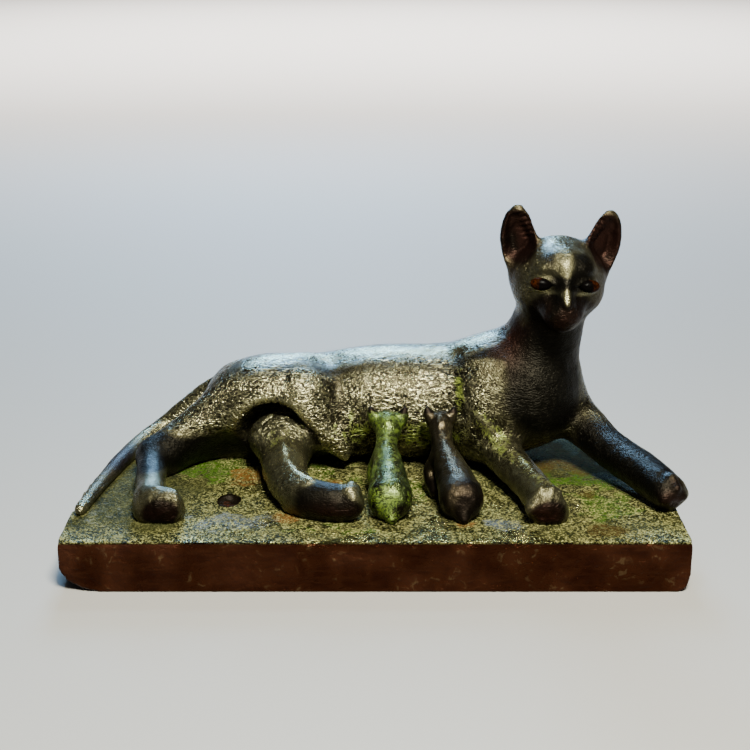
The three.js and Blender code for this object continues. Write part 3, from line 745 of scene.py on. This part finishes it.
# The middle of the cat's head, how it is turned, and lines over her shin, foreleg and back
HEAD_CENTRE = (87.8, 22.0, 97.0 + PLINTH_TOP)
HEAD_TURN = Euler((0, math.radians(3.5), math.radians(2.5))).to_matrix()
HEAD_AXES = np.array(HEAD_TURN)
SHIN = (
    (-45, 7.6, 48),
    (-43.6, -2.2, 44.7),
    (-41.8, -18, 43),
    (-36.4, -31.7, 42.2),
    (-29.6, -40.2, 41.6),
)
FORELEG = (
    (49.7, 6.8, 56.3),
    (55.6, 6, 49.4),
    (68.4, -14.6, 42.7),
    (75.6, -36.6, 41.2),
    (78, -44, 40.5),
)
BACK = (
    (-58, 31, 76.5),
    (-36, 37, 79),
    (-12, 38, 78.5),
    (12, 36, 80.5),
    (32, 35, 80.5),
    (47, 32, 86),
    (60, 29, 91),
)


def on_head(x: float, y: float, z: float) -> Place:
    """A place on the head, given from the head's own middle and in its own directions."""
    return tuple(HEAD_TURN @ Vector((x, y, z)) + Vector(HEAD_CENTRE))


def on_both_sides(place: Place, radii: Place, share: float = 1.0) -> list[Spot]:
    """A spot on the right of the head and its like on the left, the left one first."""
    x, y, z = place
    return [Spot(on_head(side * x, y, z), radii, share) for side in SIDES]


def from_head(points: np.ndarray) -> np.ndarray:
    """Points as seen from the head's own middle and in its own directions."""
    return (points - np.array(HEAD_CENTRE)) @ HEAD_AXES


def facing(angle: float, side: int) -> tuple[np.ndarray, np.ndarray]:
    """The directions across and out of an eye or ear that is turned outwards by some degrees."""
    turn = math.radians(angle) * side
    across = np.array((math.cos(turn), math.sin(turn), 0)) * side
    return across, np.array((math.sin(turn), -math.cos(turn), 0))


@dataclass(kw_only=True)
class MotherCat(Figure):
    """The lying cat. What is given on her head is given from its middle, for the right side.

    Attributes:
        eye: The middle of the eye.
        eye_radii: How far the eye's opening reaches across and up.
        eye_angle: How far the eyes look outwards, in degrees.
        ear_foot: The middle of the ear's foot.
        ear_run: From its foot to its tip.
        ear_widths: Shares of that way, and how wide the ear is there.
        ear_angle: How far the ears look outwards, in degrees.
        ear_depth: How deep they are hollowed.
    """

    node: str = "mother_cat"
    name: str = "cat"
    slot: Slot = Slot.CAT
    cell: float = 1.09
    eye: Place = (11.6, -20.2, 1.4)
    eye_radii: tuple[float, float] = (5.9, 3.2)
    eye_angle: float = 16.0
    ear_foot: Place = (17.6, 2.0, 8.0)
    ear_run: Place = (4.4, 0.0, 22.6)
    ear_widths: tuple[tuple, tuple] = ((0, 0.15, 0.5, 0.8, 1.05), (8.6, 9.9, 9.1, 6.8, 3.6))
    ear_angle: float = 20.0
    ear_depth: float = 2.0

    # Where she is green, red-brown and smooth; the red-brown is partly patina and partly painted
    # warm light on the edges of her neck, a foreleg and the tail and on the fronts of her paws
    PATCHES = {
        Patina.GREEN: (
            Spot((24, 8, 42), (26, 16, 14), 0.55),
            Spot((-8, 12, 46), (16, 12, 12), 0.42),
            Spot((41, 14, 66), (3.5, 16, 16), 0.42),
            Spot((60, -4, 46), (9, 22, 9), 0.42),
            Spot((100, 26, 44), (16, 14, 10), 0.25),
            Spot((-46, 4, 46), (14, 16, 9), 0.3),
            Spot((-46, 34, 30), (20, 16, 9), 0.3),
        ),
        Patina.RED: (
            Spot((112, 18, 98), (9, 22, 26), 1.3),
            Spot((63, 24, 108), (8, 20, 20), 1.3),
            Spot(on_head(0, -24, -14), (16, 12, 8), 0.5),
            Spot((142, -10, 40), (5, 40, 10), 0.5),
            *on_both_sides((22, 0, 19), (11, 9, 13), 0.75),
            Spot((78, -55, 29), (10, 5, 5)),
            Spot((-98, -52, 29), (14, 5, 5), 0.5),
            Spot((-22, -53, 29), (20, 6, 5), 0.5),
            Spot((138, -41, 30), (9, 6, 5), 0.5),
            Spot((-130, 10, 32), (10, 50, 6), 0.5),
        ),
        Patina.SMOOTH: (
            Spot(HEAD_CENTRE, (34, 34, 34), 0.6),
            *on_both_sides((22, 0, 19), (11, 9, 15)),
            Spot(on_head(0, -22, 2), (24, 16, 24), 0.7),
            Spot((88, 16, 88), (20, 22, 16), 0.6),
            Spot((-42, -8, 36), (14, 26, 16), 0.8),
            Spot((-22, -44, 34), (22, 14, 14), 0.8),
            Spot((-102, -35, 33), (16, 26, 16), 0.8),
            Spot((77, -44, 34), (13, 16, 14), 0.8),
            Spot((72, -22, 34), (12, 16, 14), 0.6),
            Spot((134, -28, 36), (16, 22, 14), 0.75),
        ),
    }
    # Painted shade where the share is above 0, such as the head's shadow on her chest and neck and
    # the shade round the eyes, in the ears and on the paws' fronts, and painted highlights where it
    # is below 0, such as on the ridge of her nose and the lids
    SHADE_AND_HIGHLIGHTS = (
        Spot((80, 4, 70), (26, 20, 26), 1.5),
        Spot((96, 4, 72), (20, 20, 26), 0.8),
        Spot((88, 12, 92), (24, 16, 14), 1.3),
        Spot(on_head(0, -24, -13), (20, 14, 8), 1.4),
        Spot(on_head(0, -22, 2), (26, 18, 18), 0.85),
        *on_both_sides((22, 0, 19), (12, 10, 15), 2.0),
        Spot(on_head(0, -19, 13), (1.8, 8, 9), -0.35),
        Spot(on_head(0, -17, 14), (16, 9, 10), 0.3),
        Spot(on_head(0, -28, -4), (1.2, 5, 4), -0.8),
        Spot(on_head(0, -26, 3.2), (8, 8, 2.6), 0.5),
        Spot(on_head(-9, -17, 14), (5, 8, 8), 0.35),
        Spot(on_head(9, -17, 14), (5, 8, 8), 0.3),
        Spot(on_head(0, -25, -10), (10, 7, 4)),
        Spot(on_head(8, -2, 25), (8, 12, 6), 0.5),
        *on_both_sides((23.5, -5, 10.5), (3, 5, 4), -1.5),
        Spot(on_head(-4, -6, 24), (12, 12, 5), -0.6),
        Spot((78, -56, 27), (14, 7, 9), 1.7),
        Spot((-98, -55, 27), (16, 7, 9), 1.7),
        Spot((-22, -57, 27), (24, 8, 9), 1.7),
        Spot((137, -44, 28), (13, 8, 9), 1.7),
        Spot((120, -12, 38), (28, 32, 16), 1.7),
        Spot((77, -42, 38), (12, 14, 10), 0.9),
        Spot((-96, -42, 38), (12, 14, 10), 0.75),
        Spot((138, -34, 38), (12, 14, 10), 0.3),
        Spot((62, -20, 34), (14, 20, 8), 0.7),
        Spot((-22, -40, 34), (18, 16, 14), 1.7),
        Spot((-84, 20, 33), (32, 22, 11), 1.8),
        Spot((-106, -6, 41), (10, 22, 8), 1.7),
        Spot((-128, 0, 34), (14, 50, 14), 0.9),
        Spot((-46, 18, 48), (16, 9, 6), -0.8),
        *on_both_sides((11.8, -21, -2.3), (5.5, 5, 0.8), -1.2),
    )

    def build(self) -> None:
        """Shapes the cat and dresses her."""
        ears = on_both_sides((19, 0, 20), (13, 14, 16))
        refine(self.piece, [Spot(on_head(0, -20, -2), (20, 17, 20)), *ears])
        skin = Skin(self.piece)
        skin.relax(14)
        self.shape_body(skin)
        self.shape_paws(skin)
        self.shape_face(skin)
        self.shape_lids(skin)
        self.shape_ears(skin)
        skin.push(0.22 * lumps(skin.points, 7, 3) + 0.12 * lumps(skin.points, 3, 5))
        self.sink(skin)
        self.keep_hollow_shade(skin, 1.0)
        self.lay_patina(skin)
        skin.write()
        self.dress(BronzeFinish("cat_bronze").material())

    def shape_body(self, skin: Skin) -> None:
        """The valleys, the crease round the thigh and its swell, and two ridges along the legs."""
        thigh = ((-55, 15, 49), (-52, 19, 50.5), (-47, 21, 51.5), (-41, 20, 51), (-35, 13, 50))
        grooves = [
            Groove(((-23, 34, 78), (-20, 22, 66), (-19, 14, 54)), 8, 2.1),
            Groove(((41, 28, 80), (41, 20, 72), (41, 12, 58)), 4.5, 1.7),
            Groove(thigh, 1.1, 1.3),
            Groove(((-35, 13, 50), (-31, 12, 46), (-28, 14, 40)), 1.1, 1.3),
            Groove(SHIN, 2.6, -1.2),
            Groove(FORELEG, 2.3, -1.1),
        ]
        skin.cut(grooves)
        skin.push(Spot((-46, 27, 49), (15, 8, 7), 2.4).over(skin.points))

    def shape_paws(self, skin: Skin) -> None:
        """The knuckles of the toes, and the clefts between them."""
        knuckles = (
            Spot((136.4, -33, 40), (2.2, 2.8, 2.2), 1.5),
            Spot((138.4, -38.2, 37), (2.2, 2.2, 2.4), 1.8),
            Spot((142.3, -36.4, 32), (2.0, 2.4, 2.2), 1.3),
            Spot((74.8, -47, 40), (1.9, 3.4, 2.2), 1.3),
            Spot((79.6, -47.5, 40), (1.9, 3.4, 2.2), 1.5),
            Spot((83.6, -46, 38.5), (1.7, 3.2, 2.2), 0.8),
            Spot((-99.5, -46, 40), (2.0, 3.2, 2.2), 1.4),
            Spot((-95, -46.6, 39.4), (1.6, 3.0, 2.2), 0.8),
            Spot((-90.8, -46.6, 38.4), (2.0, 3.2, 2.2), 1.4),
            Spot((-12, -47.5, 40), (2.4, 2.0, 2.2), 1.2),
            Spot((-11, -42.5, 41), (2.4, 2.0, 2.2), 1.2),
        )
        skin.push(sum(spot.over(skin.points) for spot in knuckles))
        clefts = []
        for x in (73.9, 77.1, 80.3):
            clefts.append(Groove(((x - 0.6, -45, 42), (x, -52, 37), (x, -55, 28)), 0.9, 0.6))
        for share in (0.22, 0.5, 0.78):
            x, y = 132.8 + share * 9, -38 + share * 6.5
            path = ((x - 4, y + 5, 42), (x, y - 2, 37), (x + 2, y - 4, 28))
            clefts.append(Groove(path, 0.9, 0.7))
        for x in (-100.5, -95.6, -91):
            clefts.append(Groove(((x, -46, 41), (x + 0.4, -51, 36), (x + 0.6, -52, 28)), 0.9, 0.6))
        for y in (-47.4, -43.2):
            clefts.append(Groove(((-13, y + 1, 41), (-6.5, y, 37), (-5, y, 28)), 0.9, 0.6))
        skin.cut(clefts)

    def shape_face(self, skin: Skin) -> None:
        """The bridge of the nose, the nostrils and the mouth."""
        cuts = [
            Groove((on_head(0, -24, 4), on_head(0, -28, -2), on_head(0, -31, -6)), 1.6, -0.5),
            Groove((on_head(0, -14, 16), on_head(0, -20, 10), on_head(0, -23, 5)), 3.5, -0.7),
            Groove((on_head(0, -31, -8.5), on_head(0, -31, -11.5)), 0.6, 0.3),
        ]
        for side in SIDES:
            nostril = (on_head(side * 1.6, -31, -8), on_head(side * 2.6, -30, -7.4))
            corner = (on_head(side * 4, -29, -13.2), on_head(side * 8.5, -24, -13.2))
            cuts.append(Groove(nostril, 0.7, 0.6))
            cuts.append(Groove((on_head(0, -31, -11.8), *corner), 0.6, 0.25))
        skin.cut(cuts)

    def shape_lids(self, skin: Skin) -> None:
        """The brows and the lids, which stand proud of the inlays and close over their edges."""
        turned = from_head(skin.points)
        wide, high = self.eye_radii
        for side in SIDES:
            across, out = facing(self.eye_angle, side)
            offset = turned - np.array(self.eye) * (side, 1, 1)
            along = offset @ across
            height = offset[:, 2] + 0.06 * along
            front = rise(offset @ out, -6, -2)
            ring = np.hypot((along - 0.2) / wide, height / high)
            lid = front * fall(ring - 1.05, 0.27)
            upper = rise(height, -0.5, 1.5)
            corner = 0.8 * np.exp(-(((along + 7.4) / 1.8) ** 2 + ((height + 2.0) / 1.2) ** 2))
            brow = 0.9 * np.exp(-((along / 7) ** 2 + ((height - 7.2) / 2.2) ** 2))
            lift = np.maximum(lid * (1.3 + 0.5 * upper), front * np.maximum(corner, brow))
            close = lid * (0.5 - 1.6 * upper)
            skin.points += lift[:, None] * (HEAD_AXES @ out)
            skin.points += close[:, None] * (HEAD_AXES @ np.array((0, 0, 1)))

    def shape_ears(self, skin: Skin) -> None:
        """The ears' deep hollows, the chased ribs in them, and the knobs at their feet."""
        for side in SIDES:
            turned = from_head(skin.points)
            across, out = facing(self.ear_angle, side)
            foot, run = (np.array(place) * (side, 1, 1) for place in (self.ear_foot, self.ear_run))
            share = (turned - foot) @ run / (run @ run)
            offset = turned - foot - share[:, None] * run
            beside = offset @ across / np.interp(share, *self.ear_widths)
            front = rise(offset @ out, -1.5, 0.5) * (turned[:, 0] * side > 0)
            inside = 1 - rise(np.abs(beside), 0.6, 0.92)
            length = rise(share, -0.1, 0.15) * (1 - rise(share, 0.9, 1.05))
            ribs = 0.35 * np.sin((share * 23 + beside * 1.5) * 2.6)
            ribs = ribs * rise(-beside, -0.1, 0.3) * rise(share, 0.3, 0.5)
            bowl = front * length * inside
            inwards = HEAD_AXES @ -out
            skin.points += (self.ear_depth * bowl)[:, None] * inwards
            skin.relax(20, bowl)
            skin.points += (ribs * bowl)[:, None] * inwards
            skin.push(Spot(on_head(side * 23.5, -4, 10.5), (2.4, 5, 3.4), 1.3).over(skin.points))

    def lay_patina(self, skin: Skin) -> None:
        """Her colours, and how far each place is rubbed, with painted highlights along the shin and
        a foreleg and painted shade in spots and in a band below her back.
        """
        along_shin, along_foreleg = skin.away_from(SHIN), skin.away_from(FORELEG)
        along_back = skin.away_from(BACK)
        # Painted highlights: the lines along the shin and the foreleg stay bright.
        bright = fall(np.minimum(along_shin / 1.3, along_foreleg), 2.8)
        lines = {
            Patina.SMOOTH: np.maximum(0.8 * bright, 0.75 * fall(along_back, 5.5)),
            Patina.GREEN: 0.38 * fall(along_foreleg, 7),
        }
        for patina, spots in self.PATCHES.items():
            share = np.maximum.reduce([spot.over(skin.points) for spot in spots])
            skin.keep(patina, np.maximum(share, lines.get(patina, 0)))
        dull = sum(spot.over(skin.points) for spot in self.SHADE_AND_HIGHLIGHTS)
        # Painted shade: the spots, and a dark band just below the smooth band along her back.
        rubbed = 1.1 + bright - 0.75 * fall(along_back - 12, 4) - dull
        skin.keep(Patina.WORN, rubbed + 0.25 * lumps(skin.points, 14, 17))


@dataclass(kw_only=True)
class Kitten(Figure):
    """A kitten at the belly, seen from its rump.

    Attributes:
        finish: Its bronze.
        green: How green it is all over.
        spine: Places along its back, from the crown down.
    """

    cell: float = 0.55
    finish: BronzeFinish
    green: float
    spine: Line

    def build(self) -> None:
        """Shapes the kitten and dresses it."""
        skin = Skin(self.piece)
        skin.relax(10)
        skin.push(0.12 * lumps(skin.points, 4, 8) + 0.08 * lumps(skin.points, 1.8, 9))
        self.sink(skin)
        self.keep_hollow_shade(skin, 1.4)
        points = skin.points
        low = 1 - rise(points[:, 2], PLINTH_TOP + 6, PLINTH_TOP + 22)
        back = fall(skin.away_from(self.spine), 3.2)
        ears = rise(points[:, 2], PLINTH_TOP + 34.5, PLINTH_TOP + 37)
        skin.keep(Patina.GREEN, self.green * (1 - 0.7 * ears + 0.3 * lumps(points, 9, 12)))
        skin.keep(Patina.RED, np.full(len(points), 0.1))
        # Rubbed along the spine as a painted highlight, darker low down as painted shade, and
        # darker on the ears.
        skin.keep(Patina.WORN, 0.42 + 0.6 * back - 0.5 * low - ears + 0.4 * lumps(points, 7, 13))
        skin.keep(Patina.SMOOTH, np.full(len(points), 0.8))
        skin.write()
        self.dress(self.finish.material())


def on_top(x: float, y: float, radii: tuple[float, float], share: float = 1.0) -> Spot:
    """A patch on the slab's top."""
    return Spot((x, y, PLINTH_TOP), (*radii, 9), share)


@dataclass(kw_only=True)
class Plinth(Figure):
    """The slab that the figures are fixed to."""

    node: str = "plinth"
    name: str = "slab"
    slot: Slot = Slot.PLINTH
    cell: float = 1.0

    # Where its top is green and ochre, where pale grey-blue as a painted reflection, and where
    # stained and darkened as painted shadow under her chest and head
    PATCHES = {
        Patina.GREEN: (
            on_top(-80, 20, (22, 18)),
            on_top(-26, 22, (16, 20), 0.9),
            on_top(-20, -56, (26, 9), 0.7),
            on_top(20, -6, (30, 16), 0.9),
            on_top(95, 0, (26, 30), 0.65),
            on_top(110, -30, (18, 16), 0.6),
        ),
        Patina.OCHRE: (
            on_top(-62, 10, (12, 16), 0.9),
            on_top(-39, -42, (9, 8), 0.9),
            on_top(44, -50, (6, 6)),
            on_top(-18, 6, (7, 7), 0.6),
            Spot((-73.5, -24, 22), (2.6, 3.4, 3)),
        ),
        Patina.BLUE: (
            on_top(-66, -46, (18, 14)),
            on_top(-125, -40, (12, 26), 0.35),
            on_top(56, -52, (10, 9), 0.9),
            on_top(0, -30, (8, 8), 0.5),
        ),
        Patina.STAIN: (
            on_top(101, -58, (12, 6), 1.1),
            on_top(100.5, -11.5, (5, 7), 1.2),
            on_top(92, 36, (44, 24), 0.9),
        ),
    }

    def build(self) -> None:
        """Shapes the slab and dresses it."""
        skin = Skin(self.piece)
        skin.relax(3)
        points = skin.points
        side = 1 - rise(points[:, 2], PLINTH_TOP - 2, PLINTH_TOP - 0.5)
        above = rise(points[:, 2], 1.0, 3.0)
        uneven = 0.28 * lumps(points, 16, 21) + 0.16 * lumps(points, 5, 22)
        skin.push(above * (uneven - 0.12) * (0.45 + 0.55 * side))
        self.chip_rim(skin)
        floor = Spot((-69, -19, PLINTH_TOP - 2.5), (5.2, 8, 2.5)).over(points)
        skin.push(floor * (1.6 * lumps(points, 1.8, 51) - 0.2))
        self.keep_wear_and_shade(skin)
        self.lay_patina(skin)
        skin.write()
        self.dress(PlinthFinish("plinth_bronze").material())

    def chip_rim(self, skin: Skin) -> None:
        """Nicks along the top's front edge."""
        _, y, z = skin.points.T
        rim = np.exp(-(((y - PLINTH_FRONT) / 1.8) ** 2 + ((z - PLINTH_TOP) / 1.8) ** 2))
        skin.push(-rim * (0.5 + 0.9 * rise(lumps(skin.points, 6, 31), 0.1, 0.7)))

    def keep_wear_and_shade(self, skin: Skin) -> None:
        """Stores the slab's creases for painted shade, with the socket's floor darkest, and how far
        it is rubbed, lowered for painted shade and raised along the front edge as a painted
        highlight.
        """
        socket = Spot((-69, -20, PLINTH_TOP - 2), (6.5, 10.5, 2), 0.6).over(skin.points)
        skin.keep(Patina.HOLLOW, 0.4 + skin.soften(skin.hollow(4), 1) * 2.0 + socket)
        # Painted shade at the left end and in the shadow of her head behind the forelegs, and a
        # darker strip at the front right.
        dull = (
            on_top(-116, -14, (36, 60), 1.2),
            on_top(92, 30, (44, 38), 1.2),
            on_top(110, -56, (30, 10), 0.4),
        )
        worn = 0.75 - sum(spot.over(skin.points) for spot in dull)
        # A painted highlight along the top's front edge.
        worn += 0.15 * (1 - rise(skin.points[:, 1], PLINTH_FRONT + 1, PLINTH_FRONT + 6))
        skin.keep(Patina.WORN, worn + 0.4 * lumps(skin.points, 11, 45))

    def lay_patina(self, skin: Skin) -> None:
        """The patches of colour on the slab's top, painted reflections and painted shadow among
        them.
        """
        points = skin.points
        level = rise(points[:, 2], PLINTH_TOP - 1.2, PLINTH_TOP - 0.3)
        cloud = lumps(points, 9, 41) * 0.7 + lumps(points, 4, 42) * 0.5
        for patina, spots in self.PATCHES.items():
            total = sum(spot.over(points) for spot in spots)
            skin.keep(patina, level * (total + cloud * np.minimum(total * 2, 1)))


@dataclass(kw_only=True)
class Eye(Figure):
    """An inlaid eye.

    Attributes:
        side: -1 for the eye at the left in the front view, 1 for the other.
        pupil: The middle of the right one's pupil, from the middle of the head; it sits towards the
            nose, so that its black also paints the shade in the eye's inner corner.
    """

    slot: Slot = Slot.EYE
    cell: float = 0.35
    side: int
    pupil: Place = (7.8, -23.2, 1.4)

    def build(self) -> None:
        """Rounds the eye and dresses it."""
        skin = Skin(self.piece)
        skin.relax(8)
        skin.write()
        x, y, z = self.pupil
        self.dress(InlayFinish(self.name, on_head(self.side * x, y, z)).material())


# The studio


@dataclass(frozen=True)
class SoftBox:
    """A square light.

    Attributes:
        name: Its name.
        place: Where it hangs, in metres.
        target: What it points at, in metres.
        size: How wide it is, in metres.
        power: Its power, in watts.
        colour: Its colour.
        spread: How wide its light spreads, in degrees.
    """

    name: str
    place: Place
    target: Place
    size: float
    power: float
    colour: Colour
    spread: float = 180.0

    def hang(self) -> None:
        """Puts the light in the scene."""
        data = bpy.data.lights.new(self.name, "AREA")
        data.size = self.size
        data.energy = self.power
        data.color = self.colour
        data.spread = math.radians(self.spread)
        light = bpy.data.objects.new(self.name, data)
        light.location = self.place
        aim = Vector(self.target) - Vector(self.place)
        light.rotation_euler = aim.to_track_quat("-Z", "Y").to_euler()
        bpy.context.collection.objects.link(light)


@dataclass
class Studio:
    """The floor, the light and the camera.

    Attributes:
        sky: The colour of the weak light from all round.
        camera_place: Where the camera stands, in metres.
        pitch: How far it looks down, in degrees.
        lens: Its focal length, in millimetres, on a 36 mm wide frame.
    """

    sky: Colour = (0.8, 0.82, 0.85)
    camera_place: Place = (0.0, -0.6785, 0.2905)
    pitch: float = 17.3
    lens: float = 72.0

    def build(self) -> None:
        """Sets the studio up."""
        self.lay_floor()
        for box in self.soft_boxes():
            box.hang()
        self.light_sky()
        self.place_camera()

    def lay_floor(self) -> None:
        """A wide pale floor under the plinth."""
        deselect_all()
        bpy.ops.mesh.primitive_plane_add(size=60, location=(0, 0, -0.2 * MM))
        floor = bpy.context.object
        floor.name = "floor"
        floor.data.materials.append(FloorFinish().material())

    def soft_boxes(self) -> tuple[SoftBox, ...]:
        """One low and blue behind, a small cool one over it, a warm one in front, a backdrop's."""
        blue, cool = (0.34, 0.64, 1.0), (0.5, 0.75, 1.0)
        warm, plain = (1.0, 0.96, 0.8), (1.0, 0.96, 0.92)
        return (
            SoftBox("over_back", (-0.1, 1.2, 0.7), (0, 0, 0.06), 0.42, 26, blue),
            SoftBox("over_top", (0, 0.75, 1.05), (0, 0, 0.05), 0.16, 7, cool),
            SoftBox("over_front", (0.13, -0.6, 0.85), (0, 0, 0.05), 0.22, 54, warm),
            SoftBox("backdrop", (0, 3, 1.8), (0, 3.2, 0), 3, 470, plain, spread=110),
        )

    def light_sky(self) -> None:
        """A weak light from all round."""
        world = bpy.data.worlds.new("studio")
        world.use_nodes = True
        background = world.node_tree.nodes["Background"]
        background.inputs["Color"].default_value = (*self.sky, 1)
        background.inputs["Strength"].default_value = 0.1
        bpy.context.scene.world = world

    def place_camera(self) -> None:
        """The camera at the photograph's angle."""
        data = bpy.data.cameras.new("camera")
        data.lens = self.lens
        data.sensor_width = 36
        camera = bpy.data.objects.new("camera", data)
        camera.location = self.camera_place
        camera.rotation_euler = (math.radians(90 - self.pitch), 0, 0)
        bpy.context.collection.objects.link(camera)
        bpy.context.scene.camera = camera


def main() -> None:
    """Builds the pieces in order."""
    logging.basicConfig(level=logging.INFO, format="%(message)s")
    Plinth().build()
    MotherCat().build()
    green = BronzeFinish(
        "green_bronze",
        dark=(0.008, 0.014, 0.003),
        warm=(0.016, 0.03, 0.006),
        rubbed=(0.1, 0.13, 0.05),
        green_high=(0.09, 0.14, 0.012),
    )
    Kitten(
        node="left_kitten",
        name="green_kitten",
        slot=Slot.GREEN,
        finish=green,
        green=0.38,
        spine=(
            (4.8, 1.4, 59.2),
            (6.2, -9.3, 52.3),
            (7.5, -22.6, 47.2),
            (7.8, -34, 44.1),
            (7.7, -44, 40),
        ),
    ).build()
    brown = BronzeFinish(
        "brown_bronze", warm=(0.018, 0.014, 0.008), rubbed=(0.1, 0.085, 0.05), rubbed_share=0.7
    )
    Kitten(
        node="right_kitten",
        name="brown_kitten",
        slot=Slot.BROWN,
        finish=brown,
        green=0.1,
        spine=((32, -1.3, 58.1), (32.1, -11.9, 50.8), (34.8, -26.4, 46.1), (38.4, -37.9, 43.2)),
    ).build()
    Eye(node="left_eye", name="left_inlay", side=-1).build()
    Eye(node="right_eye", name="right_inlay", side=1).build()
    Studio().build()


if __name__ == "__main__":
    main()
